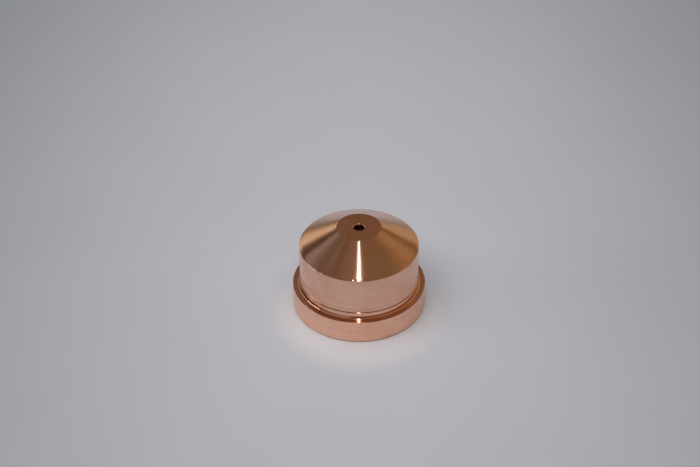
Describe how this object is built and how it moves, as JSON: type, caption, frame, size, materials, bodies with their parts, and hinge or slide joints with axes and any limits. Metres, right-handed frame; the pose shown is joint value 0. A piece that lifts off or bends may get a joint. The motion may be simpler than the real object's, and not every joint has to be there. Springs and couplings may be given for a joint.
{
  "type": "plasma torch nozzle",
  "caption": "Turned copper nozzle for a plasma cutting torch: flat nose with a fine orifice, wide conical front, plain barrel, and a clamping flange at the open base.",
  "frame": {"origin": "centre of the flat base face", "axes": "+Z along the torch axis, from the open base towards the nose; X and Y are any two directions across it, because the part is turned"},
  "size_m": [0.0224, 0.0224, 0.0155],
  "materials": {
    "copper": "fine-turned bare copper, bright, with light turning marks and faint handling tarnish"
  },
  "bodies": {
    "root": {"nozzle": "copper"}
  },
  "joints": []
}
